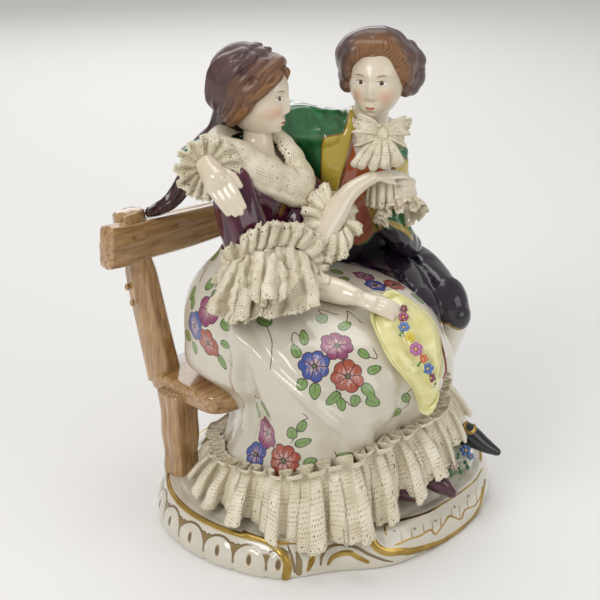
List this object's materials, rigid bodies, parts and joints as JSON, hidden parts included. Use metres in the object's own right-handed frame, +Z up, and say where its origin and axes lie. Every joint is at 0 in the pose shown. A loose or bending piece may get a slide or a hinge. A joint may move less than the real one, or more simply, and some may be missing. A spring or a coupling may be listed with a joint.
{
  "type": "porcelain lace figurine",
  "caption": "Porcelain group of a lady in a lace-frilled, flower-painted skirt and a gentleman in a green coat on a rustic bench, on an oval rocaille base.",
  "frame": {"origin": "middle of the oval base's footprint, on its flat underside", "axes": "+Z up; X along the bench, with the lady at -X and the gentleman at +X; the sitters face -Y"},
  "size_m": [0.1498, 0.1325, 0.1954],
  "materials": {
    "porcelain": "clear gloss glaze over painted enamels and gilding; the lace is nearly matt"
  },
  "bodies": {
    "root": {"courting_couple_group": "porcelain"}
  },
  "joints": []
}
